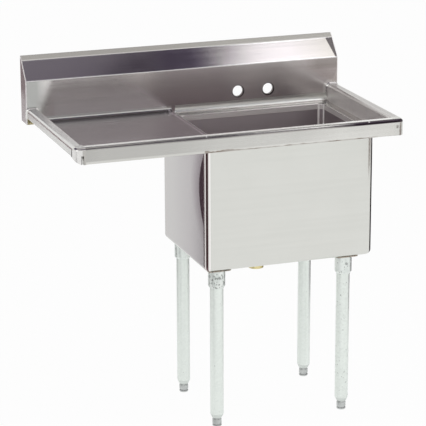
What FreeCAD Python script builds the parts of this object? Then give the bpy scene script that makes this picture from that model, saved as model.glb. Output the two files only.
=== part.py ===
import FreeCAD, Part
import math
import os

# Commercial one-compartment sink: coved bowl, drainboard on the left, rolled rims, tall backsplash.
# Millimetres. +X right, +Y towards the wall, +Z up. The origin is on the floor, below the middle of the box.

Vector = FreeCAD.Vector
UP = Vector(0, 0, 1)
BACK = Vector(0, 1, 0)

# Driving dimensions of the sheet metal top
overall_length = 1029.0        # left skirt to right skirt
basin_reach = 517.0            # front skirt to the face of the backsplash
rim_height = 960.0             # floor to the top of the rims
sheet = 1.5                    # stainless sheet
rim_width = 35.0               # across the top of a rim
rim_bend = 10.0                # outside bend radius along the rims
skirt_height = 50.0            # outside face of the front rim
left_skirt_height = 30.0       # outside face of the left rim; the right one is as tall as the front
skirt_hem = 12.0               # return folded in below the skirt
hem_bend = 3.0
corner_radius = 20.0           # front corners of the rim, seen from above
corner_slant = 24.0            # left corner's lower edge rises to the left skirt within this reach
seam_slot_from_end = 22.0      # open seam beside the bullnose, from the end of the rim
seam_slot_width = 6.0
left_seam_slot = (50.0, 26.0)  # lower and upper end, below the rim top
right_seam_slot = (27.0, 18.0)

# Deck around the bowl and drainboard
drainboard_drop = 44.0         # rim top down to the drainboard
ledge_drop = 55.5              # rim top down to the ledge around the bowl
rim_wall_below = 2.0           # rim's inner wall reaches this far below the ledge
drainboard_cove = 10.0         # inside radius where the drainboard turns up
ledge_cove = 20.0              # inside radius where the ledge turns up
cove_lip = 6.0                 # straight upstand above the drainboard's cove, up to the backsplash
drain_lip_overhang = 50.0      # drainboard edge past the bowl's left wall
opening_bend = 5.0             # bend radius round the bowl opening
opening_flange = 19.0          # flange turned down into the bowl
ledge_underlap = 15.0          # ledge reaches under the drainboard, left of the bowl

# Bowl
bowl_length = 544.0            # outside, left to right
bowl_width = 402.0             # outside, front to back
bowl_right_margin = 57.0       # right skirt to the bowl
bowl_front_margin = 92.0       # front skirt to the bowl
bowl_drop = 447.0              # rim top to the underside of the bowl
bowl_corner = 19.0             # inside radius of the upright corners
bowl_cove = 15.0               # inside radius round the floor
lap_clearance = 0.3            # between the opening's flange and the bowl wall

# Backsplash
splash_rise = 85.5             # rim top to the first bend
slope_run = 46.0
slope_rise = 55.0
top_strip_run = 17.0
top_strip_rise = 16.5
wall_turndown = 25.0           # turned down against the wall
splash_bend = 4.0
wall_bend = 2.0                # sharper bend into the turndown
faucet_centres = 101.6
faucet_hole_radius = 17.45
faucet_from_right = 290.0      # right skirt to the middle of the pair of holes
faucet_above_rim = 1.0
faucet_collar = 9.0            # the punched holes are drawn back into short collars

# Drainboard stiffener, a hat channel
stiffener_sheet = 1.2
stiffener_web = 50.0
stiffener_depth = 26.0
stiffener_flange = 18.0
stiffener_bend = 3.0
stiffener_end_gap = 30.0       # from the left rim's inner wall

# Legs
tube_diameter = 41.3
tube_wall = 1.5
leg_inset_left = 50.0          # bowl's left side to the left legs' axes
leg_inset_right = 78.0         # bowl's right side to the right legs' axes
leg_inset_front = 46.0
leg_inset_back = 42.0
socket_plate = 70.0
socket_plate_thickness = 3.0
socket_plate_corner = 10.0
socket_wall = 5.0
socket_length = 58.0
socket_taper = 6.0
socket_lip = 1.5
socket_clearance = 0.5
screw_radius = 4.0
screw_proud = 2.5
screw_clearance = 0.15
screw_from_top = 24.0
screw_key_radius = 2.2
screw_key_depth = 3.0

# Feet
foot_height = 30.0             # floor to the foot's shoulder
foot_radius = 14.5
foot_tip_radius = 9.0
foot_round = 7.0
foot_neck = 4.0
foot_neck_radius = 11.5
stem_radius = 7.9
stem_length = 36.0
stem_clearance = 0.3
insert_shoulder = 12.0
insert_shoulder_radius = 15.5
insert_plug = 30.0
insert_clearance = 0.15

# Drain
drain_left_of_middle = 29.0
drain_behind_middle = 17.0
drain_hole_radius = 44.45
strainer_flange_radius = 57.0
strainer_flange_edge = 0.8
strainer_flange_thickness = 2.5
strainer_flange_bevel = 4.0
strainer_seat_radius = 44.0
strainer_throat = 40.0
strainer_throat_drop = 3.0
strainer_wall = 2.5
strainer_depth = 36.0
strainer_floor_fall = 2.0
outlet_radius = 24.15
outlet_wall = 3.75
outlet_length = 23.0
coupling_wall = 3.8
coupling_grip = 13.0           # coupling's reach up the strainer's sleeve
coupling_shoulder = 4.5
coupling_fall = 4.0
thread_clearance = 0.3
gasket_thickness = 3.0
gasket_radius = 56.0
slip_ring_thickness = 1.2
locknut_height = 10.0
locknut_wall = 9.0
locknut_lugs = 6
lug_width = 12.0
lug_reach = 6.0
basket_clearance = 3.0
basket_sheet = 1.2
basket_depth = 27.0
basket_lip_reach = 4.0         # lip's reach out over the strainer's seat
basket_post_radius = 3.5
basket_post_above = 14.0
basket_knob_radius = 9.0
basket_knob_height = 6.0
basket_hole_radius = 3.0
basket_rings = ((12.0, 6), (25.0, 14))     # radius and count of each ring of holes

# Places worked out from the driving dimensions
overall_depth = basin_reach + slope_run + top_strip_run
left_end = -overall_length / 2
right_end = overall_length / 2
front_face = -overall_depth / 2
splash_face = front_face + basin_reach
wall_plane = front_face + overall_depth
rim_inner_left = left_end + rim_width
rim_inner_right = right_end - rim_width
rim_inner_front = front_face + rim_width
skirt_bottom = rim_height - skirt_height
left_skirt_bottom = rim_height - left_skirt_height
drainboard_top = rim_height - drainboard_drop
ledge_top = rim_height - ledge_drop
ledge_under = ledge_top - sheet
rim_wall_bottom = ledge_top - rim_wall_below
bowl_right = right_end - bowl_right_margin
bowl_left = bowl_right - bowl_length
bowl_front = front_face + bowl_front_margin
bowl_back = bowl_front + bowl_width
bowl_under = rim_height - bowl_drop
bowl_floor = bowl_under + sheet
drain_lip = bowl_left + drain_lip_overhang
drain_roll = drainboard_top - ledge_top          # drainboard rolls down to the ledge
drain_flat_end = drain_lip - drain_roll
flange_inset = sheet + lap_clearance + sheet     # outside of the bowl to the inside of the flange
opening_left = drain_lip + opening_bend
opening_right = bowl_right - flange_inset
opening_front = bowl_front + flange_inset
opening_back = bowl_back - flange_inset
opening_corner = bowl_corner + sheet - flange_inset
ledge_left = bowl_left - ledge_underlap
splash_bend_z = rim_height + splash_rise
splash_top = splash_bend_z + slope_rise + top_strip_rise
cove_top = drainboard_top + drainboard_cove + cove_lip
drain_x = (bowl_left + bowl_right) / 2 - drain_left_of_middle
drain_y = (bowl_front + bowl_back) / 2 + drain_behind_middle
basket_floor = bowl_floor - basket_depth
tube_radius = tube_diameter / 2
tube_bottom = foot_height + insert_shoulder
tube_top = bowl_under - socket_plate_thickness

LEGS = {
    "front_left": (bowl_left + leg_inset_left, bowl_front + leg_inset_front),
    "front_right": (bowl_right - leg_inset_right, bowl_front + leg_inset_front),
    "back_left": (bowl_left + leg_inset_left, bowl_back - leg_inset_back),
    "back_right": (bowl_right - leg_inset_right, bowl_back - leg_inset_back),
}


def block(x0, x1, y0, y1, z0, z1):
    """Box between two opposite corners."""
    return Part.makeBox(x1 - x0, y1 - y0, z1 - z0, Vector(x0, y0, z0))


def across(x):
    """Places a flat point (y, z) in the upright plane at x."""
    return lambda point: Vector(x, point[0], point[1])


def along(y):
    """Places a flat point (x, z) in the upright plane at y."""
    return lambda point: Vector(point[0], y, point[1])


def direction(a, b):
    length = math.dist(a, b)
    return ((b[0] - a[0]) / length, (b[1] - a[1]) / length)


def turn(before, after):
    """Signed angle between two directions, positive to the left."""
    cross = before[0] * after[1] - before[1] * after[0]
    dot = before[0] * after[0] + before[1] * after[1]
    return math.atan2(cross, dot)


def offset_path(points, distance):
    """The same open path, moved sideways to its left."""
    ways = [direction(a, b) for a, b in zip(points, points[1:])]
    moved = []
    for index, point in enumerate(points):
        before = ways[max(index - 1, 0)]
        after = ways[min(index, len(ways) - 1)]
        half = turn(before, after) / 2
        middle = math.atan2(before[1], before[0]) + half + math.pi / 2
        reach = distance / math.cos(half)
        moved.append((point[0] + reach * math.cos(middle), point[1] + reach * math.sin(middle)))
    return moved


def bent_edges(points, radii, place):
    """Edges of an open path with an arc at each inner point."""
    edges = []
    start = points[0]
    for index in range(1, len(points) - 1):
        before = direction(points[index - 1], points[index])
        after = direction(points[index], points[index + 1])
        angle = turn(before, after)
        radius = radii[index - 1]
        setback = radius * math.tan(abs(angle) / 2)
        corner = points[index]
        enter = (corner[0] - setback * before[0], corner[1] - setback * before[1])
        leave = (corner[0] + setback * after[0], corner[1] + setback * after[1])
        inward = direction(corner, ((enter[0] + leave[0]) / 2, (enter[1] + leave[1]) / 2))
        depth = radius / math.cos(angle / 2) - radius
        middle = (corner[0] + depth * inward[0], corner[1] + depth * inward[1])
        if math.dist(start, enter) > Part.Precision.confusion():
            edges.append(Part.LineSegment(place(start), place(enter)).toShape())
        edges.append(Part.Arc(place(enter), place(middle), place(leave)).toShape())
        start = leave
    if math.dist(start, points[-1]) > Part.Precision.confusion():
        edges.append(Part.LineSegment(place(start), place(points[-1])).toShape())
    return edges


def bent_sheet(points, radii, thickness, place):
    """Face of a bent sheet: the path is one side, and thickness goes to its left, or right if negative."""
    ways = [direction(a, b) for a, b in zip(points, points[1:])]
    other_radii = []
    for radius, before, after in zip(radii, ways, ways[1:]):
        side = math.copysign(1, turn(before, after))
        other_radii.append(radius - side * thickness)
    other = offset_path(points, thickness)
    edges = bent_edges(points, radii, place) + bent_edges(other, other_radii, place)
    edges.append(Part.LineSegment(place(points[0]), place(other[0])).toShape())
    edges.append(Part.LineSegment(place(points[-1]), place(other[-1])).toShape())
    return Part.Face(Part.Wire(Part.__sortEdges__(edges)))


def turned(profile, x=0.0, y=0.0):
    """Solid of revolution about an upright axis, from closed (radius, z) points."""
    corners = [Vector(radius, 0, z) for radius, z in profile]
    face = Part.Face(Part.makePolygon(corners + corners[:1]))
    solid = face.revolve(Vector(0, 0, 0), UP, 360)
    solid.translate(Vector(x, y, 0))
    return solid


def ring(inner, outer, z0, z1, x, y):
    """Plain ring about an upright axis."""
    return turned([(inner, z0), (outer, z0), (outer, z1), (inner, z1)], x, y)


def joined(shapes):
    return shapes[0].fuse(shapes[1:]).removeSplitter()


def spokes(count):
    """Level directions, evenly spaced round an upright axis."""
    angles = [2 * math.pi * index / count for index in range(count)]
    return [Vector(math.cos(angle), math.sin(angle), 0) for angle in angles]


def mirrored(shape):
    """The right-hand copy of a left-hand shape."""
    return shape.mirror(Vector(0, 0, 0), Vector(1, 0, 0))


def upright_edges(solid):
    found = []
    for edge in solid.Edges:
        box = edge.BoundBox
        if box.ZLength > max(box.XLength, box.YLength):
            found.append(edge)
    return found


def level_edges(solid, z):
    """Edges that lie wholly in the level plane at z."""
    found = []
    for edge in solid.Edges:
        box = edge.BoundBox
        if abs(box.ZMin - z) + abs(box.ZMax - z) < Part.Precision.approximation():
            found.append(edge)
    return found


def rim_section(outer, low, place):
    """Section of a rim whose skirt ends at low, from the hem over the top to the inner wall's lower edge."""
    inner = outer + rim_width
    path = [
        (outer + skirt_hem, low),
        (outer, low),
        (outer, rim_height),
        (inner, rim_height),
        (inner, rim_wall_bottom),
    ]
    return bent_sheet(path, (hem_bend, rim_bend, rim_bend), -sheet, place)


def front_rim():
    rim = rim_section(front_face, skirt_bottom, across(rim_inner_left))
    return rim.extrude(Vector(rim_inner_right - rim_inner_left, 0, 0))


def side_rim(low):
    """Left-hand side rim whose skirt ends at low."""
    rim = rim_section(left_end, low, along(rim_inner_front))
    return rim.extrude(Vector(0, splash_face - rim_inner_front, 0))


def seam_slots(low, high):
    """Open seams on the front and the side of the left corner, between two depths below the rim top."""
    near = seam_slot_from_end
    far = near + seam_slot_width
    tall = low - high
    lift = skirt_height - left_skirt_height if low > left_skirt_height else 0
    front = block(left_end + near, left_end + far, front_face, front_face + sheet,
                  rim_height - low, rim_height - high)
    side = block(left_end, left_end + sheet, front_face + near, front_face + far,
                 rim_height - low + lift, rim_height - low + lift + tall)
    return [front, side]


def corner_slant_tool():
    """Wedge below the left corner, from the front skirt's lower edge up to the left skirt's."""
    start = Vector(left_end + corner_slant, front_face, 0)
    way = Vector(-corner_slant, corner_slant, 0)
    below = skirt_bottom - rim_width
    corners = [(0, below), (0, skirt_bottom), (1, left_skirt_bottom), (2, left_skirt_bottom), (2, below)]
    points = [start + way * share + UP * z for share, z in corners]
    depth = Vector(rim_width, rim_width, 0)
    wedge = Part.Face(Part.makePolygon(points + points[:1])).extrude(depth * 2)
    wedge.translate(depth * -1)
    return wedge


def left_corner(slot):
    """Bullnosed corner of the front and left rims: a quarter turn with two short straight stretches."""
    pivot_x = left_end + corner_radius
    pivot_y = front_face + corner_radius
    stretch = rim_width - corner_radius
    path = [(front_face, skirt_bottom), (front_face, rim_height), (pivot_y, rim_height)]
    half = bent_sheet(path, (rim_bend,), -sheet, across(pivot_x))
    front_run = half.extrude(Vector(stretch, 0, 0))
    quarter = half.revolve(Vector(pivot_x, pivot_y, 0), UP, -90)
    side = half.copy()
    side.rotate(Vector(pivot_x, pivot_y, 0), UP, -90)
    side_run = side.extrude(Vector(0, stretch, 0))
    top = block(pivot_x, rim_inner_left, pivot_y, rim_inner_front, rim_height - sheet, rim_height)
    corner = joined([quarter, front_run, side_run, top])
    return corner.cut(seam_slots(*slot))


def splash_path():
    """Front of the backsplash's section, from its lower edge up to the end of the turndown at the wall."""
    return [
        (splash_face, skirt_bottom),
        (splash_face, splash_bend_z),
        (splash_face + slope_run, splash_bend_z + slope_rise),
        (wall_plane, splash_top),
        (wall_plane, splash_top - wall_turndown),
    ]


def backsplash():
    """Bent sheet that stands on the coves and reaches lower behind the ends of the side rims."""
    section = bent_sheet(splash_path(), (splash_bend, splash_bend, wall_bend), -sheet, across(left_end + sheet))
    panel = section.extrude(Vector(overall_length - 2 * sheet, 0, 0))
    for x0, x1 in ((rim_inner_left, drain_flat_end), (drain_lip, rim_inner_right)):
        panel = panel.cut(block(x0, x1, splash_face, splash_face + sheet, skirt_bottom, cove_top))
    for side in (-1, 1):
        x = right_end - faucet_from_right + side * faucet_centres / 2
        start = Vector(x, splash_face, rim_height + faucet_above_rim)
        collar = Part.makeCylinder(faucet_hole_radius + sheet, faucet_collar, start, BACK)
        panel = panel.fuse(collar)
        panel = panel.cut(Part.makeCylinder(faucet_hole_radius, 3 * faucet_collar, start - BACK * faucet_collar, BACK))
    return panel.removeSplitter()


def left_end_cap():
    """Plate that closes the end of the backsplash, from the skirt's lower edge to the top."""
    path = splash_path()
    path[-1] = (wall_plane, skirt_bottom)
    place = across(left_end)
    edges = bent_edges(path, (splash_bend, splash_bend, wall_bend), place)
    edges.append(Part.LineSegment(place(path[-1]), place(path[0])).toShape())
    plate = Part.Face(Part.Wire(Part.__sortEdges__(edges)))
    return plate.extrude(Vector(sheet, 0, 0))


def upturn(level_under, cove, x0, x1):
    """Coved upstand from a level sheet's back edge to the backsplash, flush with its face."""
    back = splash_face + sheet
    path = [(splash_face - cove, level_under), (back, level_under), (back, cove_top)]
    section = bent_sheet(path, (cove + sheet,), sheet, across(x0))
    return section.extrude(Vector(x1 - x0, 0, 0))


def drainboard():
    cove_start = splash_face - drainboard_cove
    profile = [(rim_inner_left, drainboard_top), (drain_lip, drainboard_top), (drain_lip, ledge_top)]
    board = bent_sheet(profile, (drain_roll,), -sheet, along(rim_inner_front))
    board = board.extrude(Vector(0, cove_start - rim_inner_front, 0))
    profile[0] = (drain_flat_end, drainboard_top)
    edge = bent_sheet(profile, (drain_roll,), -sheet, along(cove_start))
    edge = edge.extrude(Vector(0, drainboard_cove, 0))
    cove = upturn(drainboard_top - sheet, drainboard_cove, rim_inner_left, drain_flat_end)
    return joined([board, edge, cove])


def opening_tool(grow, corner, z0, z1):
    """Upright plug of the bowl opening, larger by grow all round."""
    plug = block(opening_left - grow, opening_right + grow, opening_front - grow, opening_back + grow,
                 z0, z1)
    return plug.makeFillet(corner + grow, upright_edges(plug))


def bowl_ledge():
    """Level ledge round the bowl, with a flange turned down into it and a cove up to the backsplash."""
    bottom = ledge_top - opening_flange
    cove_start = splash_face - ledge_cove
    skin = block(ledge_left, rim_inner_right, rim_inner_front, cove_start, bottom, ledge_top)
    skin = skin.cut(opening_tool(0, opening_corner, bottom - sheet, ledge_top + sheet))
    rim_edges = [e for e in level_edges(skin, ledge_top) if inside_opening_zone(e)]
    skin = skin.makeFillet(opening_bend, rim_edges)
    core = block(ledge_left - sheet, rim_inner_right + sheet, rim_inner_front - sheet, cove_start + sheet,
                 bottom - sheet, ledge_under)
    core = core.cut(opening_tool(sheet, opening_corner, bottom - 2 * sheet, ledge_top))
    core_edges = [e for e in level_edges(core, ledge_under) if inside_opening_zone(e)]
    core = core.makeFillet(opening_bend - sheet, core_edges)
    cove = upturn(ledge_under, ledge_cove, drain_lip, rim_inner_right)
    return joined([skin.cut(core), cove])


def inside_opening_zone(edge):
    """True for edges round the opening, false for the ledge's outer edges."""
    middle = edge.CenterOfMass
    margin = 2 * sheet
    in_x = opening_left - margin < middle.x < opening_right + margin
    in_y = opening_front - margin < middle.y < opening_back + margin
    return in_x and in_y


def tub(shrink, top):
    """Block of the bowl with rounded uprights and a rounded floor edge, smaller by shrink."""
    floor = bowl_under + shrink
    solid = block(bowl_left + shrink, bowl_right - shrink, bowl_front + shrink, bowl_back - shrink,
                  floor, top)
    solid = solid.makeFillet(bowl_corner + sheet - shrink, upright_edges(solid))
    return solid.makeFillet(bowl_cove + sheet - shrink, level_edges(solid, floor))


def bowl():
    """Tub under the ledge, cut lower where the opening's bend needs room."""
    shell = tub(0, ledge_under).cut(tub(sheet, ledge_under + sheet))
    hole = Part.makeCylinder(drain_hole_radius, sheet, Vector(drain_x, drain_y, bowl_under))
    bend_inside = opening_bend - sheet
    bend_room = opening_tool(opening_bend, opening_corner, ledge_under - bend_inside, ledge_under)
    return shell.cut([hole, bend_room])


def drainboard_stiffener():
    """Hat channel under the drainboard, from near the left rim to the ledge."""
    middle = (rim_inner_front + splash_face) / 2
    top = drainboard_top - sheet
    half = stiffener_web / 2
    path = [
        (middle - half - stiffener_flange, top),
        (middle - half, top),
        (middle - half, top - stiffener_depth),
        (middle + half, top - stiffener_depth),
        (middle + half, top),
        (middle + half + stiffener_flange, top),
    ]
    bend = stiffener_bend
    radii = (bend + stiffener_sheet, bend, bend, bend + stiffener_sheet)
    left = rim_inner_left + stiffener_end_gap
    section = bent_sheet(path, radii, -stiffener_sheet, across(left))
    return section.extrude(Vector(ledge_left - left, 0, 0))


def screw_way(y):
    """Set screws point outwards: to the front on the front legs, to the back on the back legs."""
    return Vector(0, 1 if y > drain_y else -1, 0)


def leg_socket(x, y):
    """Cup under the bowl that a leg tube pushes into, with its welding plate."""
    bore = tube_radius + socket_clearance
    outer = bore + socket_wall
    low = tube_top - socket_length
    cup = turned([
        (bore, low), (bore + socket_lip, low), (outer, low + socket_taper),
        (outer, tube_top), (bore, tube_top),
    ], x, y)
    half = socket_plate / 2
    plate = block(x - half, x + half, y - half, y + half, tube_top, bowl_under)
    plate = plate.makeFillet(socket_plate_corner, upright_edges(plate))
    hole_start = Vector(x, y, tube_top - screw_from_top)
    hole = Part.makeCylinder(screw_radius + screw_clearance, socket_plate, hole_start, screw_way(y))
    return joined([cup, plate]).cut(hole)


def set_screw(x, y):
    """Grub screw that grips the tube, with a round key recess in its outer end."""
    way = screw_way(y)
    tip = tube_radius + screw_clearance
    head = tube_radius + socket_clearance + socket_wall + screw_proud
    start = Vector(x, y, tube_top - screw_from_top)
    screw = Part.makeCylinder(screw_radius, head - tip, start + way * tip, way)
    return screw.cut(Part.makeCylinder(screw_key_radius, screw_key_depth, start + way * head, way * -1))


def leg_tube(x, y):
    return ring(tube_radius - tube_wall, tube_radius, tube_bottom, tube_top, x, y)


def foot_insert(x, y):
    """Threaded plug in the tube's end, with a tapered shoulder below it."""
    bore = stem_radius + stem_clearance
    plug = tube_radius - tube_wall - insert_clearance
    return turned([
        (bore, foot_height), (insert_shoulder_radius, foot_height), (tube_radius, tube_bottom),
        (plug, tube_bottom), (plug, tube_bottom + insert_plug), (bore, tube_bottom + insert_plug),
    ], x, y)


def bullet_foot(x, y):
    """Adjustable foot: a rounded body with a narrow neck, and a screwed stem inside the insert."""
    place = along(0)
    shoulder = foot_height - foot_neck
    flat = [(0, 0), (foot_tip_radius, 0)]
    bulge = foot_round * math.sin(math.radians(45))
    width = foot_radius - foot_tip_radius
    middle = (foot_tip_radius + width * math.sin(math.radians(45)), foot_round - bulge)
    upper = [
        (foot_radius, foot_round), (foot_radius, shoulder), (foot_neck_radius, foot_height),
        (stem_radius, foot_height), (stem_radius, foot_height + stem_length), (0, foot_height + stem_length),
    ]
    edges = [Part.LineSegment(place(flat[0]), place(flat[1])).toShape()]
    edges.append(Part.Arc(place(flat[1]), place(middle), place(upper[0])).toShape())
    for a, b in zip(upper, upper[1:] + flat[:1]):
        edges.append(Part.LineSegment(place(a), place(b)).toShape())
    solid = Part.Face(Part.Wire(edges)).revolve(Vector(0, 0, 0), UP, 360)
    solid.translate(Vector(x, y, 0))
    return solid


def strainer_body():
    """Cup of the drain: a flange on the bowl's floor and a sleeve through the hole."""
    outer = strainer_throat + strainer_wall
    floor = bowl_floor - strainer_depth
    seat = bowl_floor + strainer_flange_thickness
    return turned([
        (strainer_flange_radius, bowl_floor),
        (strainer_flange_radius, bowl_floor + strainer_flange_edge),
        (strainer_flange_radius - strainer_flange_bevel, seat),
        (strainer_seat_radius, seat),
        (strainer_throat, bowl_floor - strainer_throat_drop),
        (strainer_throat, floor),
        (outlet_radius, floor - strainer_floor_fall),
        (outlet_radius, floor - strainer_floor_fall - strainer_wall),
        (outer, floor - strainer_wall),
        (outer, bowl_floor),
    ], drain_x, drain_y)


def drain_stack():
    """Heights of the pieces clamped under the bowl, from the top down."""
    gasket_low = bowl_under - gasket_thickness
    slip_low = gasket_low - slip_ring_thickness
    return gasket_low, slip_low, slip_low - locknut_height


def drain_gasket():
    sleeve = strainer_throat + strainer_wall + thread_clearance
    return ring(sleeve, gasket_radius, drain_stack()[0], bowl_under, drain_x, drain_y)


def drain_slip_ring():
    sleeve = strainer_throat + strainer_wall + thread_clearance
    gasket_low, slip_low, _ = drain_stack()
    return ring(sleeve, gasket_radius, slip_low, gasket_low, drain_x, drain_y)


def drain_locknut():
    sleeve = strainer_throat + strainer_wall + thread_clearance
    outer = sleeve + locknut_wall
    _, top, low = drain_stack()
    lugs = []
    for index in range(locknut_lugs):
        lug = block(drain_x + sleeve + locknut_wall / 2, drain_x + outer + lug_reach,
                    drain_y - lug_width / 2, drain_y + lug_width / 2, low, top)
        lug.rotate(Vector(drain_x, drain_y, 0), UP, index * 360 / locknut_lugs)
        lugs.append(lug)
    return joined([ring(sleeve, outer, low, top, drain_x, drain_y)] + lugs)


def outlet_coupling():
    """Brass coupling on the strainer's sleeve, narrowing to the waste outlet."""
    sleeve = strainer_throat + strainer_wall + thread_clearance
    outer = sleeve + coupling_wall
    inside = bowl_floor - strainer_depth - strainer_wall - thread_clearance
    inside_low = inside - strainer_floor_fall
    shoulder = inside_low - coupling_shoulder
    step = shoulder - coupling_fall
    return turned([
        (sleeve, inside + coupling_grip), (outer, inside + coupling_grip), (outer, shoulder),
        (outlet_radius + coupling_wall, step), (outlet_radius, step), (outlet_radius, step - outlet_length),
        (outlet_radius - outlet_wall, step - outlet_length), (outlet_radius - outlet_wall, inside_low),
        (outlet_radius, inside_low), (sleeve, inside),
    ], drain_x, drain_y)


def strainer_basket():
    """Perforated cup that hangs in the drain by its lip."""
    wall = strainer_throat - basket_clearance
    lip = strainer_seat_radius + basket_lip_reach
    seat = bowl_floor + strainer_flange_thickness
    cup = turned([
        (0, basket_floor), (wall, basket_floor), (wall, seat), (lip, seat), (lip, seat + basket_sheet),
        (wall - basket_sheet, seat + basket_sheet), (wall - basket_sheet, basket_floor + basket_sheet),
        (0, basket_floor + basket_sheet),
    ], drain_x, drain_y)
    centre = Vector(drain_x, drain_y, basket_floor)
    holes = []
    for radius, count in basket_rings:
        for way in spokes(count):
            holes.append(Part.makeCylinder(basket_hole_radius, basket_sheet, centre + way * radius, UP))
    return cup.cut(holes)


def basket_post():
    """Post and knob on the basket's floor, to lift it by."""
    foot = basket_floor + basket_sheet
    post_top = bowl_floor + strainer_flange_thickness + basket_post_above
    knob_top = post_top + basket_knob_height
    return turned([
        (0, foot), (basket_post_radius, foot), (basket_post_radius, post_top),
        (basket_knob_radius, post_top), (basket_knob_radius, knob_top), (0, knob_top),
    ], drain_x, drain_y)


def save(name, shape):
    shape.exportStep("parts/" + name + ".step")


os.makedirs("parts", exist_ok=True)
end_cap = left_end_cap()
save("backsplash", backsplash())
save("left_end_cap", end_cap)
save("right_end_cap", mirrored(end_cap))
save("front_rim", front_rim())
save("left_rim", side_rim(left_skirt_bottom))
save("right_rim", mirrored(side_rim(skirt_bottom)))
save("front_left_corner", left_corner(left_seam_slot).cut(corner_slant_tool()))
save("front_right_corner", mirrored(left_corner(right_seam_slot)))
save("drainboard", drainboard())
save("drainboard_stiffener", drainboard_stiffener())
save("bowl_ledge", bowl_ledge())
save("bowl", bowl())
save("strainer_body", strainer_body())
save("strainer_basket", strainer_basket())
save("basket_post", basket_post())
save("drain_gasket", drain_gasket())
save("drain_slip_ring", drain_slip_ring())
save("drain_locknut", drain_locknut())
save("outlet_coupling", outlet_coupling())
for place_name, (leg_x, leg_y) in LEGS.items():
    save("leg_socket_" + place_name, leg_socket(leg_x, leg_y))
    save("leg_tube_" + place_name, leg_tube(leg_x, leg_y))
    save("foot_insert_" + place_name, foot_insert(leg_x, leg_y))
    save("bullet_foot_" + place_name, bullet_foot(leg_x, leg_y))
screws = [set_screw(leg_x, leg_y) for leg_x, leg_y in LEGS.values()]
save("socket_set_screws", Part.makeCompound(screws))
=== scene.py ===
# %% [markdown]
# # A commercial sink on four legs
# The sheet metal, the legs and the drain come as finished solids from the CAD frame. This lesson dresses them:
# brushed stainless steel, galvanised tubes, cast feet and brass. It also adds the small forms that a drawing
# leaves out, such as weld beads and screw threads. Everything is in metres, in the frame of the CAD model.

# %% Load the frame
import math

import bmesh
import bpy
from mathutils import Matrix, Vector


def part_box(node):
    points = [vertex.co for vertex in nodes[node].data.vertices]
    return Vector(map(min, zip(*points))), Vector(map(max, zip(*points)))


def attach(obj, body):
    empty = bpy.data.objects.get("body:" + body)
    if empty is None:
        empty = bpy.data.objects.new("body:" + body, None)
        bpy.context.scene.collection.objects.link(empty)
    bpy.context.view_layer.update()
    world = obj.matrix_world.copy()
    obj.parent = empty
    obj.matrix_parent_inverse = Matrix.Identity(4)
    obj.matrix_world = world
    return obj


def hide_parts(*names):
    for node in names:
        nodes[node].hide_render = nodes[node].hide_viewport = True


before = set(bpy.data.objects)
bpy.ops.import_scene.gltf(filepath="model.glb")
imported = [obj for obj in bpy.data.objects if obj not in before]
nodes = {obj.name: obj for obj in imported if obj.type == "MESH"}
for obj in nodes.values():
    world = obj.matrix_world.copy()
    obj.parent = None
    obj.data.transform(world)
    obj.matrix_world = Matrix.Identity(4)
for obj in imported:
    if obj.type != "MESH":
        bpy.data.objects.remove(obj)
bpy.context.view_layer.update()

scene = bpy.context.scene

# %% [markdown]
# ## Camera
# The photograph was taken from far away with a long lens, a little from the left and from above. A camera looks
# along its own -Z, with X to the right and Y up, so its three axes are worked out from two turns and a small
# roll, and they become the columns of its matrix. The lens follows from the focal length in image pixels.

# %% Camera
image_width = 426
focal_pixels = 2090.0
camera_place = (-2.08346, -5.81041, 2.44882)
swing, dip, roll = (math.radians(angle) for angle in (19.79, 16.34, -0.19))
ahead = Vector((math.sin(swing) * math.cos(dip), math.cos(swing) * math.cos(dip), -math.sin(dip)))
level_right = Vector((math.cos(swing), -math.sin(swing), 0.0))
upright = level_right.cross(ahead)
lens_right = math.cos(roll) * level_right + math.sin(roll) * upright
lens_up = math.cos(roll) * upright - math.sin(roll) * level_right

camera = bpy.data.objects.new("photo_camera", bpy.data.cameras.new("photo_camera"))
camera.data.sensor_width = 36.0
camera.data.lens = camera.data.sensor_width * focal_pixels / image_width
camera.data.clip_end = 60.0
turn = Matrix((lens_right, lens_up, -ahead)).transposed().to_4x4()
camera.matrix_world = Matrix.Translation(camera_place) @ turn
scene.collection.objects.link(camera)
scene.camera = camera
scene.view_settings.view_transform = "Standard"
print("lens %.1f mm" % camera.data.lens)

# %% [markdown]
# ## Node helpers
# A material is a small graph. These helpers keep the graphs short: one adds a node and fills its sockets, one
# does arithmetic, one makes noise that can be stretched along a direction, and one maps a range to another.

# %% Node helpers
def add(tree, kind, settings=None, **sockets):
    """Adds a node. Socket names use _ for a space; a socket takes a value or another socket."""
    node = tree.nodes.new(kind)
    for key, value in (settings or {}).items():
        setattr(node, key, value)
    for key, value in sockets.items():
        plug(tree, node.inputs[key.replace("_", " ")], value)
    return node


def plug(tree, socket, value):
    """Links another socket to a socket, or sets its value."""
    if isinstance(value, bpy.types.NodeSocket):
        tree.links.new(value, socket)
    else:
        socket.default_value = value


def calc(tree, operation, *values):
    """One Math node; values are numbers or sockets."""
    node = tree.nodes.new("ShaderNodeMath")
    node.operation = operation
    for socket, value in zip(node.inputs, values):
        plug(tree, socket, value)
    return node.outputs[0]


def noise(tree, stretch, detail=3.0, soften=0.5):
    """Noise with its own number of cells per metre along X, Y and Z."""
    place = add(tree, "ShaderNodeTexCoord").outputs["Object"]
    place = add(tree, "ShaderNodeMapping", Vector=place, Scale=stretch).outputs[0]
    return add(tree, "ShaderNodeTexNoise", Vector=place, Scale=1.0, Detail=detail, Roughness=soften).outputs[0]


def remap(tree, value, low, high, to_low, to_high):
    """Maps the range from low to high to another range, and stops at its ends."""
    return add(tree, "ShaderNodeMapRange", Value=value, From_Min=low, From_Max=high,
               To_Min=to_low, To_Max=to_high).outputs[0]


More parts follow.
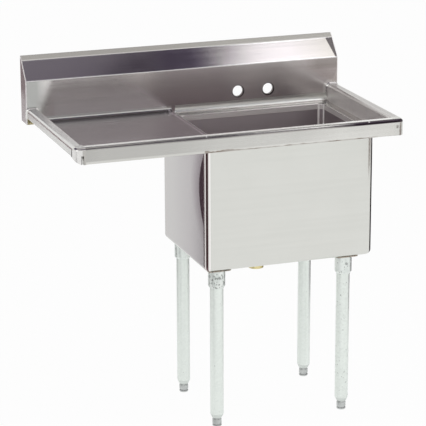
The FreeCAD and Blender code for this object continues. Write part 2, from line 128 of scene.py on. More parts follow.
def blend(tree, share, first, second):
    """Mixes two colours by a share from 0 to 1."""
    node = tree.nodes.new("ShaderNodeMix")
    node.data_type = "RGBA"
    for socket, value in ((node.inputs[0], share), (node.inputs[6], first), (node.inputs[7], second)):
        plug(tree, socket, value)
    return node.outputs[2]


def new_material(name):
    material = bpy.data.materials.new(name)
    material.use_nodes = True
    tree = material.node_tree
    return material, tree, tree.nodes["Principled BSDF"]


def grey(value):
    return (value, value, value, 1.0)


print("node helpers ready")

# %% [markdown]
# ## Studio
# Polished sheet metal shows its surroundings more than its own colour, so the room is the first finish. The
# background and the floor are white for the camera and for reflections. Higher up the room gets dark, and straight
# above it is grey again: the slope of the backsplash mirrors the dark ring, and the bowl mirrors the grey middle.

# %% World
world = bpy.data.worlds.new("studio")
scene.world = world
world.use_nodes = True
sky = world.node_tree
sky.nodes.clear()
rays = add(sky, "ShaderNodeLightPath").outputs
direction = add(sky, "ShaderNodeTexCoord").outputs["Generated"]
ramp = add(sky, "ShaderNodeValToRGB", Fac=add(sky, "ShaderNodeSeparateXYZ", Vector=direction).outputs[2])
dark_ring = (0.105, 0.085, 0.13)
steps = ((0.0, (0.96, 0.96, 0.95)), (0.48, (0.92, 0.92, 0.91)), (0.58, (0.45, 0.43, 0.44)), (0.66, dark_ring),
         (0.872, dark_ring), (0.910, (0.56, 0.54, 0.53)), (1.0, (0.72, 0.70, 0.68)))
for index, (height, colour) in enumerate(steps):
    stop = ramp.color_ramp.elements[index] if index < 2 else ramp.color_ramp.elements.new(height)
    stop.position = height
    stop.color = (*colour, 1.0)
room = add(sky, "ShaderNodeBackground", Color=ramp.outputs[0], Strength=1.0).outputs[0]
white = add(sky, "ShaderNodeBackground", Color=grey(1.0), Strength=1.0).outputs[0]
seen = add(sky, "ShaderNodeMixShader", Fac=rays["Is Camera Ray"])
sky.links.new(room, seen.inputs[1])
sky.links.new(white, seen.inputs[2])
add(sky, "ShaderNodeOutputWorld", Surface=seen.outputs[0])
print("world steps:", len(steps))

# %% [markdown]
# The floor is a plain sheet under the feet. Most of its whiteness is its own, so that it stays as white as the
# background, and the rest is a matt surface that takes the soft shadow of the sink.

# %% Floor
def make_object(name, bm, material):
    """Turns a bmesh into an object that sits at the origin."""
    mesh = bpy.data.meshes.new(name)
    bm.to_mesh(mesh)
    bm.free()
    mesh.materials.append(material)
    thing = bpy.data.objects.new(name, mesh)
    scene.collection.objects.link(thing)
    return thing


own_white, floor_half = 0.97, 9.0
floor_paint, tree, shader = new_material("floor_paint")
shader.inputs["Base Color"].default_value = grey(0.86)
shader.inputs["Roughness"].default_value = 0.9
shader.inputs["Specular IOR Level"].default_value = 0.0
rays = add(tree, "ShaderNodeLightPath").outputs
shown = calc(tree, "MAXIMUM", rays["Is Camera Ray"],
             calc(tree, "MAXIMUM", rays["Is Glossy Ray"], rays["Is Transmission Ray"]))
glow = add(tree, "ShaderNodeEmission", Color=grey(1.0), Strength=1.0).outputs[0]
both = add(tree, "ShaderNodeMixShader", Fac=calc(tree, "MULTIPLY", shown, own_white))
tree.links.new(shader.outputs[0], both.inputs[1])
tree.links.new(glow, both.inputs[2])
tree.links.new(both.outputs[0], tree.nodes["Material Output"].inputs[0])

bm = bmesh.new()
bmesh.ops.create_grid(bm, x_segments=1, y_segments=1, size=floor_half)
floor = make_object("floor", bm, floor_paint)
print("floor", floor.dimensions[:2])

# %% [markdown]
# ## Lamps and cards
# One large soft lamp hangs above the right front: the slope of the backsplash mirrors it, so it turns white from
# its middle to the right. A weaker lamp fills from the left. Cards stand where the photograph shows reflections of
# things outside the picture: dark ones beside the lamp and on both sides of the bowl, paler ones in front of the
# sink and above the top strip. They cast no shadow and the camera doesn't see them.

# %% Lamps and cards
def soft_lamp(name, place, aim, width, depth, brightness):
    """Area lamp of a given brightness, as bright as a white card at 1."""
    lamp = bpy.data.objects.new(name, bpy.data.lights.new(name, "AREA"))
    lamp.data.shape = "RECTANGLE"
    lamp.data.size = width
    lamp.data.size_y = depth
    lamp.data.energy = 4.0 * width * depth * brightness
    way = (Vector(aim) - Vector(place)).to_track_quat("-Z", "Y").to_matrix().to_4x4()
    lamp.matrix_world = Matrix.Translation(place) @ way
    lamp.visible_camera = False
    scene.collection.objects.link(lamp)


def card(name, corner, across, up, colour):
    """Flat card seen only in reflections, from one corner and two sides."""
    paint, tree, _ = new_material(name)
    glow = add(tree, "ShaderNodeEmission", Color=(*colour, 1.0), Strength=1.0).outputs[0]
    tree.links.new(glow, tree.nodes["Material Output"].inputs[0])
    bm = bmesh.new()
    start = Vector(corner)
    edge = [bm.verts.new(start), bm.verts.new(start + Vector(across))]
    side = bmesh.ops.extrude_edge_only(bm, edges=[bm.edges.new(edge)])["geom"]
    moved = [item for item in side if isinstance(item, bmesh.types.BMVert)]
    bmesh.ops.translate(bm, verts=moved, vec=up)
    thing = make_object(name, bm, paint)
    thing.visible_camera = False
    thing.visible_shadow = False
    thing.visible_diffuse = False


dark = (0.04, 0.02, 0.03)
soft_lamp("overhead_lamp", (1.43, -0.58, 2.35), (1.43, -0.575, 0.0), 1.5, 0.76, 1.36)
soft_lamp("fill_lamp", (-2.6, -2.4, 2.4), (0.0, 0.0, 0.7), 1.6, 1.6, 0.9)
card("flag_card", (0.16, -1.0, 2.34), (0.50, 0.0, 0.0), (0.0, 0.8, 0.0), (0.035, 0.02, 0.045))
card("left_card", (-1.3, -0.95, 0.02), (0.0, 0.70, 0.0), (0.0, 0.0, 0.63), dark)
card("back_left_card", (-0.72, 0.92, 0.02), (-0.42, -0.40, 0.0), (0.0, 0.0, 0.58), dark)
card("cap_card", (-1.7, 2.2, 0.42), (0.65, 0.0, 0.0), (0.0, 0.0, 0.8), (0.14, 0.06, 0.07))
card("right_card", (1.46, -0.2, 0.02), (-0.46, 1.1, 0.0), (0.0, 0.0, 0.6), dark)
card("right_end_card", (0.55, -0.36, 0.72), (0.35, 0.0, 0.0), (0.0, 0.0, 0.20), (0.38, 0.335, 0.32))
card("strip_card", (0.5, -0.17, 2.36), (0.9, 0.0, 0.0), (0.0, 0.74, 0.0), (0.66, 0.645, 0.625))
card("front_card", (0.66, -2.3, 1.15), (2.8, 0.0, 0.0), (0.0, 0.0, 0.55), (0.82, 0.765, 0.76))
card("front_high_card", (0.05, -2.3, 1.70), (3.45, 0.0, 0.0), (0.0, 0.0, 0.65), (0.33, 0.30, 0.31))

# %% [markdown]
# ## Brushed stainless sheet
# Sheet metal is brushed in one direction at the mill. The scratches are far finer than a pixel, but they gather
# into faint streaks and they smear the reflections. So one noise is stretched a hundredfold along the brushing,
# and it drives the roughness and a very low bump. A second, cloudy noise varies the colour a little, as oil and
# handling do. The function takes the direction of the brushing: 0 for X, 1 for Y, 2 for Z.

# %% Brushed stainless sheet
def brushed_sheet(name, grain, bright, dull, rough, depth=0.10, streak=1.0):
    """Steel brushed along one axis. Depth is how deep the scratches look, streak how much the roughness varies."""
    material, tree, shader = new_material(name)
    stretch = [420.0, 420.0, 420.0]
    stretch[grain] = 4.0
    fine = noise(tree, stretch, 4.0, 0.65)
    stretch = [70.0, 70.0, 70.0]
    stretch[grain] = 1.6
    broad = noise(tree, stretch, 2.0)
    cloud = noise(tree, (7.0, 7.0, 7.0), 3.0)
    share = calc(tree, "ADD", calc(tree, "MULTIPLY", broad, 0.45), calc(tree, "MULTIPLY", cloud, 0.55))
    share = remap(tree, share, 0.36, 0.64, 0.0, 1.0)
    plug(tree, shader.inputs["Base Color"], blend(tree, share, (*dull, 1.0), (*bright, 1.0)))
    worn = calc(tree, "ADD", calc(tree, "MULTIPLY", fine, 0.6), calc(tree, "MULTIPLY", cloud, 0.4))
    smoothest, roughest = rough - 0.05 * streak, rough + 0.07 * streak
    plug(tree, shader.inputs["Roughness"], remap(tree, worn, 0.3, 0.7, smoothest, roughest))
    bump = add(tree, "ShaderNodeBump", Height=fine, Strength=depth, Distance=0.0006)
    plug(tree, shader.inputs["Normal"], bump.outputs[0])
    shader.inputs["Metallic"].default_value = 1.0
    return material


def dress(material, *names):
    """Gives CAD nodes a finish in place of their plain one."""
    for name in names:
        slots = nodes[name].data.materials
        slots.clear()
        slots.append(material)
    print(material.name, "on", ", ".join(names))


# %% [markdown]
# ## Masks
# Bends, welds and stains sit at known places, so each is a mask: a number from 0 to 1, worked out at every point
# from its coordinates. Painting them on an image would need a picture for each sheet; a mask needs none and stays
# sharp from near and far. These helpers make masks from limits and bands, multiply them, and lay another colour,
# roughness or metal over a sheet where the mask is 1.

# %% Masks
def points_of(material):
    """A material's tree, and the three coordinates of a point on it in metres."""
    tree = material.node_tree
    place = add(tree, "ShaderNodeTexCoord").outputs["Object"]
    return (tree, *add(tree, "ShaderNodeSeparateXYZ", Vector=place).outputs)


def below(tree, value, limit):
    return calc(tree, "LESS_THAN", value, limit)


def beyond(tree, value, limit):
    return calc(tree, "GREATER_THAN", value, limit)


def smooth_band(tree, value, middle, half, soft):
    """1 where value is within half of middle, fading out over soft."""
    away = calc(tree, "ABSOLUTE", calc(tree, "SUBTRACT", value, middle))
    return remap(tree, away, half, half + soft, 1.0, 0.0)


def together(tree, *masks):
    """Product of masks: 1 only where all of them are."""
    product = masks[0]
    for mask in masks[1:]:
        product = calc(tree, "MULTIPLY", product, mask)
    return product


def distance(tree, u, v, middle_u=0.0, middle_v=0.0):
    """Distance from a point, in the plane of two coordinates."""
    du = calc(tree, "SUBTRACT", u, middle_u)
    dv = calc(tree, "SUBTRACT", v, middle_v)
    return calc(tree, "SQRT", calc(tree, "ADD", calc(tree, "MULTIPLY", du, du), calc(tree, "MULTIPLY", dv, dv)))


print("mask helpers ready")

# %% Finishes laid over
def lay_over(material, mask, colour, rough=None, metal=None):
    """Lays another finish over a material where the mask is 1."""
    tree = material.node_tree
    shader = tree.nodes["Principled BSDF"]
    socket = shader.inputs["Base Color"]
    plug(tree, socket, blend(tree, mask, socket.links[0].from_socket, (*colour, 1.0)))
    for name, value in (("Roughness", rough), ("Metallic", metal)):
        if value is not None:
            socket = shader.inputs[name]
            before = socket.links[0].from_socket if socket.links else socket.default_value
            mixed = add(tree, "ShaderNodeMix", Factor=mask)
            plug(tree, mixed.inputs[2], before)
            plug(tree, mixed.inputs[3], value)
            plug(tree, socket, mixed.outputs[0])


def lay_tones(material, area, tones):
    """Lays several colours over one area, each with a mask of its own."""
    for mask, colour in tones:
        lay_over(material, together(material.node_tree, area, mask), colour)


def scale_rough(material, mask, factor):
    """Multiplies the roughness by a factor where the mask is 1."""
    tree = material.node_tree
    socket = tree.nodes["Principled BSDF"].inputs["Roughness"]
    scale = remap(tree, mask, 0.0, 1.0, 1.0, factor)
    plug(tree, socket, calc(tree, "MULTIPLY", socket.links[0].from_socket, scale))


print("finish helpers ready")

# %% [markdown]
# ## Front rim
# The front rim is folded from one sheet: a flat top, a bend and a skirt. In the photograph the top is a bright
# line, the bend below it is dark in places, and the skirt is darker at the left, except for its lower fold. The
# room that made these tones isn't known, so they are painted on as colour along X: a painted highlight on the top,
# painted shade on the bend and on the skirt.

# %% Front rim tones
front_low, front_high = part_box("front_rim")
rim_top, rim_bend = front_high.z, 0.010
skirt_low = rim_top - 0.050
bend_shade = (0.05, 0.038, 0.05)


def front_bend(tree, y, z):
    """The long bend between the front's top and its skirt."""
    band = smooth_band(tree, z, rim_top - 0.005, 0.0036, 0.0015)
    return together(tree, band, below(tree, y, front_low.y + rim_bend))


front_sheet = brushed_sheet("front_rim_sheet", 0, (0.745, 0.74, 0.71), (0.65, 0.645, 0.615), 0.25)
tree, x, y, z = points_of(front_sheet)
dark_left = together(tree, remap(tree, x, -0.42, -0.20, 0.0, 0.5), remap(tree, x, -0.05, 0.06, 1.0, 0.2))
darker = calc(tree, "ADD", dark_left, remap(tree, x, 0.24, 0.36, 0.0, 0.9))
lay_over(front_sheet, together(tree, front_bend(tree, y, z), darker), bend_shade)
shaded = calc(tree, "ADD", remap(tree, x, -0.22, -0.06, 0.4, 0.0), remap(tree, x, 0.16, 0.31, 0.46, 0.0))
shaded = calc(tree, "ADD", shaded, remap(tree, x, -0.48, -0.43, 0.14, 0.0))
on_skirt = together(tree, below(tree, y, front_low.y + 0.005),
                    remap(tree, z, skirt_low + 0.006, skirt_low + 0.009, 0.1, 1.0))
lay_over(front_sheet, together(tree, shaded, on_skirt), (0.48, 0.475, 0.455))
# Painted highlight along the flat top of the rim.
top_highlight = together(tree, beyond(tree, y, front_low.y + 0.011), beyond(tree, z, rim_top - 0.004))
lay_over(front_sheet, top_highlight, (0.95, 0.945, 0.92))
inner_wall = together(tree, beyond(tree, y, front_high.y - 0.002), remap(tree, x, -0.06, 0.02, 0.0, 0.8))
lay_over(front_sheet, inner_wall, (0.92, 0.86, 0.84), 0.55, 0.2)
print("rim top at %.3f" % rim_top)

# %% [markdown]
# Two more marks show on it. A brown band of painted shadow runs along the skirt's lower edge above the bowl: its
# upper edge is wavy, because noise is added to a height. Two pale spots on the bend look like small tack welds.

# %% Front rim marks
bowl_low, bowl_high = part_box("bowl")
bowl_middle = (bowl_low + bowl_high) / 2
# Painted shadow: a wavy brown band under the skirt's lower edge, above the bowl.
thick = remap(tree, x, -0.07, 0.02, 0.012, 0.006)
wavy = calc(tree, "ADD", skirt_low + 0.0005, together(tree, noise(tree, (45.0, 1.0, 1.0), 2.0), thick))
over_bowl = smooth_band(tree, x, bowl_middle.x - 0.033, (bowl_high.x - bowl_low.x) / 2, 0.004)
patchy = remap(tree, noise(tree, (22.0, 1.0, 1.0), 3.0), 0.4, 0.65, 0.3, 0.95)
lay_over(front_sheet, together(tree, below(tree, z, wavy), over_bowl, patchy), (0.29, 0.24, 0.205), 0.5)
for tack in (-0.114, 0.399):
    from_tack = distance(tree, x, y, tack, front_low.y + 0.006)
    lay_over(front_sheet, remap(tree, from_tack, 0.0022, 0.0032, 1.0, 0.0), (0.95, 0.94, 0.92), 0.35, 0.5)
dress(front_sheet, "front_rim")

# %% [markdown]
# ## Side rims
# The left rim is seen along its length and its top carries a painted highlight. The inner wall of the right rim is
# rough and pale, as if left as it came from the mill. It faces left, so it is found by its place in X, and its flat
# top by the height. A darker painted reflection runs along the middle of that top.

# %% Side rims
left_sheet = brushed_sheet("left_rim_sheet", 1, (0.72, 0.72, 0.70), (0.62, 0.62, 0.60), 0.23)
tree, x, y, z = points_of(left_sheet)
# Painted highlight along the rim's top.
top_highlight = remap(tree, z, rim_top - 0.011, rim_top - 0.005, 0.0, 0.8)
lay_over(left_sheet, top_highlight, (0.93, 0.93, 0.91), metal=0.55)
dress(left_sheet, "left_rim")

right_low, right_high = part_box("right_rim")
rim_middle = (right_low.x + right_high.x) / 2
rim_half = (right_high.x - right_low.x) / 2
right_sheet = brushed_sheet("right_rim_sheet", 1, (0.78, 0.76, 0.74), (0.66, 0.64, 0.62), 0.28)
tree, x, y, z = points_of(right_sheet)
inner_wall = together(tree, below(tree, x, right_low.x + 0.0015),
                      remap(tree, z, rim_top - 0.011, rim_top - 0.007, 1.0, 0.0))
mottled = remap(tree, noise(tree, (40.0, 55.0, 55.0), 4.0), 0.3, 0.7, 0.55, 1.0)
lay_over(right_sheet, together(tree, inner_wall, mottled), (0.80, 0.765, 0.74), 0.55, 0.35)
# Painted darker reflection along the middle of the rim's top.
dark_top_reflection = together(tree, smooth_band(tree, x, rim_middle, 0.006, 0.003), beyond(tree, z, rim_top - 0.0005))
lay_over(right_sheet, dark_top_reflection, (0.56, 0.545, 0.53))
dress(right_sheet, "right_rim")

# %% [markdown]
# ## Bowl
# Outside, the bowl is a smooth sheet. Inside, the steel looks rougher and warmer. Both sides are one mesh, so a dot
# product tells them apart: on the inside the surface faces the bowl's middle.

# %% Bowl sides
bowl_sheet = brushed_sheet("bowl_sheet", 0, (0.714, 0.719, 0.684), (0.691, 0.696, 0.661), 0.25, 0.03, 0.3)
tree, x, y, z = points_of(bowl_sheet)
shader = tree.nodes["Principled BSDF"]
from_middle = add(tree, "ShaderNodeVectorMath", {"operation": "SUBTRACT"})
plug(tree, from_middle.inputs[0], add(tree, "ShaderNodeTexCoord").outputs["Object"])
from_middle.inputs[1].default_value = bowl_middle
normal = add(tree, "ShaderNodeNewGeometry").outputs["Normal"]
facing = add(tree, "ShaderNodeVectorMath", {"operation": "DOT_PRODUCT"})
plug(tree, facing.inputs[0], from_middle.outputs[0])
plug(tree, facing.inputs[1], normal)
inside = below(tree, facing.outputs["Value"], 0.0)
outside = calc(tree, "SUBTRACT", 1.0, inside)
lay_over(bowl_sheet, inside, (0.63, 0.585, 0.60))
old_rough = shader.inputs["Roughness"].links[0].from_socket
plug(tree, shader.inputs["Roughness"], calc(tree, "ADD", old_rough, calc(tree, "MULTIPLY", inside, 0.17)))
print("bowl middle", tuple(round(value, 3) for value in bowl_middle))

# %% [markdown]
# Beside its front left corner the left wall seems to turn towards the bend early, in the shape of a lens. Its depth
# is a few millimetres at most, so it is a bump: its height is written in metres, and the shader tilts the surface
# to follow it. The dark reflections and shade that the photograph shows there are painted on with the same
# distances: the wall darker towards the corner, painted shade beside the lens and a maroon painted reflection in
# it.

# %% Bowl swelling
bowl_bend = 0.0205
lens_middle, lens_half, lens_reach = bowl_high.z - 0.138, 0.108, 0.039
from_corner = calc(tree, "SUBTRACT", y, bowl_low.y + bowl_bend)
up = calc(tree, "DIVIDE", calc(tree, "SUBTRACT", z, lens_middle), lens_half)
lens_width = calc(tree, "MULTIPLY", calc(tree, "SUBTRACT", 1.0, calc(tree, "MULTIPLY", up, up)), lens_reach)
in_lens = calc(tree, "MAXIMUM", calc(tree, "SUBTRACT", lens_width, from_corner), 0.0)
swell = calc(tree, "MAXIMUM", calc(tree, "SUBTRACT", 0.13, from_corner), 0.0)
drop = calc(tree, "ADD", together(tree, in_lens, 0.15), together(tree, swell, swell, 0.25))
on_left = together(tree, below(tree, x, bowl_low.x + 0.001), beyond(tree, from_corner, 0.0))
swelling = add(tree, "ShaderNodeBump", Height=together(tree, drop, on_left, -1.0), Strength=1.0, Distance=1.0)
plug(tree, shader.inputs["Normal"].links[0].from_node.inputs["Normal"], swelling.outputs[0])

# Painted shade and reflection on the left wall: darker towards the corner, shade beside the lens, maroon in it.
lens_shade = together(tree, remap(tree, calc(tree, "SUBTRACT", from_corner, lens_width), 0.0, 0.075, 0.9, 0.0),
                       remap(tree, up, -2.2, -0.8, 0.15, 1.0))
lay_tones(bowl_sheet, together(tree, on_left, outside), (
    (remap(tree, from_corner, 0.05, 0.30, 1.0, 0.6), (0.46, 0.435, 0.445)),
    (lens_shade, (0.27, 0.225, 0.25)),
    (remap(tree, in_lens, 0.0, 0.006, 0.0, 0.9), (0.30, 0.20, 0.24))))
print("lens %.3f high" % (2 * lens_half))

# %% [markdown]
# The two front corners of the bowl carry upright stripes of painted reflection, standing in for a room that isn't
# known: maroon and bright ones in turn at the left, and a dark one at the right. They follow the turn of the
# surface, so the mask works with the compass angle of its normal. Inside, the right wall carries painted shade, and
# the front wall, which is only seen mirrored in the back wall, is painted pale and less metallic as painted light.

# %% Corner stripes and inside walls
facing_way = add(tree, "ShaderNodeSeparateXYZ", Vector=normal).outputs
angle = calc(tree, "ARCTAN2", facing_way[1], facing_way[0])
in_front = together(tree, outside, below(tree, y, bowl_low.y + bowl_bend))
# Upright stripes of painted reflection at the front corners.
corner_reflections = ((-136.0, 9.0, (0.13, 0.07, 0.075)), (-157.0, 6.0, (0.74, 0.70, 0.69)),
           (-174.0, 5.0, (0.22, 0.14, 0.155)), (-112.0, 5.0, (0.90, 0.87, 0.86)),
           (-38.0, 20.0, (0.05, 0.03, 0.035)))
for middle, half, colour in corner_reflections:
    reflection = smooth_band(tree, angle, math.radians(middle), math.radians(half), math.radians(4.0))
    lay_over(bowl_sheet, together(tree, reflection, in_front), colour)
# Painted shade on the right wall inside, and painted light on the front wall that the back wall mirrors.
right_wall_shade = remap(tree, x, bowl_high.x - 0.10, bowl_high.x - 0.004, 0.0, 0.75)
front_wall_light = below(tree, y, bowl_low.y + 0.003)
lay_tones(bowl_sheet, inside, ((right_wall_shade, (0.33, 0.28, 0.30)), (front_wall_light, (0.95, 0.87, 0.86))))
less_metal = calc(tree, "ADD", together(tree, inside, 0.2), together(tree, inside, front_wall_light, 0.5))
plug(tree, shader.inputs["Metallic"], calc(tree, "SUBTRACT", 1.0, less_metal))
dress(bowl_sheet, "bowl")

# %% [markdown]
# Two thin painted highlights run up the upright corner at the back right of the bowl, where the bend begins and
# where it ends. The ledge's flange turns the same corner just above, so the same highlights go on both materials.

# %% Bright corner lines
drainboard_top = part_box("drainboard")[1].z - 0.016
ledge_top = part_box("bowl_ledge")[0].z + 0.019
sheet = 0.0015


def corner_highlights(material):
    """Two painted highlights up the back right corner, measured across the bend as the camera sees it."""
    tree, x, y, z = points_of(material)
    corner_x, corner_y = bowl_high.x - sheet, bowl_high.y - sheet
    across_x, across_y = 0.94, 0.34
    near = together(tree, beyond(tree, x, corner_x - 0.023), beyond(tree, y, corner_y - 0.023),
                    below(tree, z, ledge_top - 0.004))
    around = calc(tree, "SUBTRACT", calc(tree, "MULTIPLY", x, across_x), calc(tree, "MULTIPLY", y, across_y))
    start = across_x * (corner_x - 0.019) - across_y * corner_y
    # Painted highlights where the bend begins and where it ends.
    highlights = calc(tree, "MAXIMUM", smooth_band(tree, around, start + 0.003, 0.0025, 0.0015),
                 smooth_band(tree, around, start + 0.019, 0.0015, 0.0015))
    lay_over(material, together(tree, highlights, near), (1.0, 0.98, 0.95), 0.4, 0.0)


corner_highlights(bowl_sheet)
print("corner lines at", tuple(round(value, 3) for value in bowl_high[:2]))

# %% [markdown]
# ## Drainboard
# The drainboard turns up into the backsplash in a cove, and the cove is a little smoother and carries a painted
# highlight. The level part carries painted shade at the back. At the bowl the sheet is rolled down. Two painted
# highlights run along the roll, and light specks, perhaps weld spatter, lie at its back end: they are noise that
# is cut off at a level.

# %% Drainboard
def paint_cove_highlight(material, level, colour, factor, over=0.003):
    """Paints the cove's highlight over a sheet above a level; the factor scales its roughness."""
    tree, x, y, z = points_of(material)
    cove_highlight = remap(tree, z, level, level + over, 0.0, 1.0)
    lay_over(material, cove_highlight, colour)
    scale_rough(material, cove_highlight, factor)


splash_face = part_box("backsplash")[0].y
roll_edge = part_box("drainboard")[1].x
drainboard_sheet = brushed_sheet("drainboard_sheet", 0, (0.37, 0.34, 0.355), (0.32, 0.295, 0.31), 0.22)
tree, x, y, z = points_of(drainboard_sheet)
# Painted shade on the level part near the backsplash.
shade_at_back = remap(tree, y, splash_face - 0.085, splash_face - 0.02, 0.0, 0.75)
lay_over(drainboard_sheet, shade_at_back, (0.15, 0.135, 0.145))
# Painted highlights along the roll.
roll_highlights = calc(tree, "MAXIMUM", smooth_band(tree, x, roll_edge - 0.0055, 0.0018, 0.0012),
                  smooth_band(tree, x, roll_edge - 0.020, 0.0016, 0.0020))
lay_over(drainboard_sheet, together(tree, roll_highlights, 0.7), (0.82, 0.77, 0.83))
specks = remap(tree, noise(tree, (120.0, 45.0, 120.0), 3.0), 0.48, 0.56, 0.0, 0.8)
spatter = together(tree, smooth_band(tree, x, roll_edge - 0.022, 0.016, 0.012),
                   smooth_band(tree, y, splash_face - 0.042, 0.012, 0.014), specks)
lay_over(drainboard_sheet, spatter, (0.80, 0.75, 0.80))
# Painted highlight on the cove.
paint_cove_highlight(drainboard_sheet, drainboard_top + 0.003, (0.76, 0.77, 0.75), 0.8)
dress(drainboard_sheet, "drainboard")

# %% [markdown]
# ## Ledge
# The ledge round the bowl is the same kind of sheet. Its cove carries a pale painted highlight and is a little
# rougher than its level part, and its flange, which hangs into the bowl, is paler still.

# %% Ledge
ledge_sheet = brushed_sheet("ledge_sheet", 0, (0.62, 0.60, 0.585), (0.55, 0.53, 0.52), 0.22)
# Painted highlight on the cove.
paint_cove_highlight(ledge_sheet, ledge_top + 0.004, (0.72, 0.735, 0.70), 1.35)
tree, x, y, z = points_of(ledge_sheet)
flange = remap(tree, z, ledge_top - 0.006, ledge_top - 0.004, 1.0, 0.0)
lay_over(ledge_sheet, flange, (0.80, 0.765, 0.75), 0.5, 0.6)
corner_highlights(ledge_sheet)
dress(ledge_sheet, "bowl_ledge")

# %% [markdown]
# ## Backsplash
# The backsplash is one sheet in three bands: the upright face, the slope and the narrow top strip. A mask for each
# band comes from the heights of the two bends. Only the front has the marks of the photograph, so the masks also
# ask which way the surface faces.

# %% Backsplash bands
low_bend, high_bend = rim_top + 0.0855, rim_top + 0.1405
splash_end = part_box("backsplash")[1].x
splash_sheet = brushed_sheet("splash_sheet", 0, (0.69, 0.66, 0.655), (0.635, 0.605, 0.605), 0.20, 0.05)
tree, x, y, z = points_of(splash_sheet)
normal = add(tree, "ShaderNodeNewGeometry").outputs["Normal"]
front_side = below(tree, add(tree, "ShaderNodeSeparateXYZ", Vector=normal).outputs[1], 0.0)
on_face = together(tree, front_side, below(tree, z, low_bend - 0.002))
on_slope = together(tree, front_side, beyond(tree, z, low_bend + 0.002), below(tree, z, high_bend - 0.001))
on_strip = together(tree, front_side, remap(tree, z, high_bend + 0.002, high_bend + 0.003, 0.0, 1.0))
side = calc(tree, "ABSOLUTE", x)
from_end = calc(tree, "SUBTRACT", splash_end, side)
print("bends at %.4f and %.4f" % (low_bend, high_bend))

# %% [markdown]
# The face is bright in a ring round the ends of the side rims, as if the welds there were ground and polished, and
# pale at its lower corners. The two bends carry thin painted highlights.

# %% Backsplash polish
beside = calc(tree, "ABSOLUTE", calc(tree, "SUBTRACT", side, rim_middle))
beside = calc(tree, "MAXIMUM", calc(tree, "SUBTRACT", beside, rim_half - rim_bend), 0.0)
above = calc(tree, "MAXIMUM", calc(tree, "SUBTRACT", z, rim_top - rim_bend), 0.0)
halo = smooth_band(tree, distance(tree, beside, above), 0.014, 0.005, 0.008)
ground_reach = calc(tree, "MULTIPLY", calc(tree, "SUBTRACT", rim_top + 0.045, z), 0.45)
ground = together(tree, on_face, below(tree, from_end, ground_reach), remap(tree, x, -0.1, 0.1, 1.0, 0.5))
polish = together(tree, front_side, calc(tree, "MAXIMUM", halo, ground))
lay_over(splash_sheet, polish, (0.93, 0.925, 0.915))
scale_rough(splash_sheet, polish, 0.8)
# Painted highlights along the two bends.
bend_highlights = calc(tree, "MAXIMUM", smooth_band(tree, z, low_bend, 0.0015, 0.0015),
                  smooth_band(tree, z, high_bend, 0.0012, 0.0022))
lay_over(splash_sheet, together(tree, front_side, bend_highlights), (0.95, 0.95, 0.94))
print("rim ends %.3f wide, centred at %.3f" % (2 * rim_half, rim_middle))

# %% [markdown]
# Welding can pull thin sheet out of true. The reflections suggest that the face leans at its left end, and that the
# slope turns away in a narrow triangle at its right end. Neither has an outline, so they are one more bump.

# %% Backsplash shaping
end_reach = remap(tree, z, low_bend, high_bend, 0.005, 0.023)
past_end = calc(tree, "MINIMUM", calc(tree, "SUBTRACT", from_end, end_reach), 0.0)
right_slope = together(tree, beyond(tree, x, 0.0), beyond(tree, z, low_bend - 0.002), below(tree, z, high_bend))
pulled_and_shaded = together(tree, on_face, below(tree, x, 0.0), remap(tree, from_end, 0.03, 0.085, 1.0, 0.0))
pull = calc(tree, "MULTIPLY", calc(tree, "SUBTRACT", rim_top + 0.04, z), 0.17)
lift = calc(tree, "ADD", together(tree, past_end, right_slope, 0.32), together(tree, pulled_and_shaded, pull))
shaping = add(tree, "ShaderNodeBump", Height=lift, Strength=1.0, Distance=1.0)
shader = tree.nodes["Principled BSDF"]
plug(tree, shader.inputs["Normal"].links[0].from_node.inputs["Normal"], shaping.outputs[0])
print("slope %.3f high" % (high_bend - low_bend))

# %% [markdown]
# The rest is colour: painted shade in the collars and round the edges of the faucet holes, painted shade on the
# grey end that was pulled, a yellow stain below the left rim, and painted reflections of the room along the slope
# and the face.

# %% Backsplash tones
# Painted shade inside the hole collars.
collar_shade = together(tree, beyond(tree, y, splash_face + 0.0017), below(tree, y, splash_face + 0.0120),
                     below(tree, z, rim_top + 0.025))
lay_over(splash_sheet, collar_shade, (0.10, 0.08, 0.075))
# Painted shade round the edge of each faucet hole.
for hole in (0.1737, 0.2753):
    from_hole = distance(tree, x, z, hole + 0.0012, rim_top - 0.0004)
    hole_edge_shade = together(tree, remap(tree, from_hole, 0.0196, 0.0212, 1.0, 0.0), below(tree, y, splash_face + 0.001))
    lay_over(splash_sheet, hole_edge_shade, (0.06, 0.045, 0.05))
# Painted shade on the pulled left end.
lay_over(splash_sheet, pulled_and_shaded, (0.46, 0.465, 0.455))
lay_over(splash_sheet, on_strip, (0.63, 0.625, 0.60))
stain = together(tree, below(tree, z, rim_top - 0.031), below(tree, x, -0.47))
lay_tones(splash_sheet, on_face, ((stain, (0.78, 0.68, 0.42)),))
# Painted reflections of the room along the slope.
lay_tones(splash_sheet, on_slope, (
    (remap(tree, x, 0.02, 0.13, 0.8, 0.0), (0.37, 0.345, 0.395)),
    (remap(tree, x, 0.36, 0.50, 0.0, 1.0), (0.56, 0.54, 0.50)),
    (smooth_band(tree, x, -0.012, 0.04, 0.07), (0.32, 0.285, 0.36))))
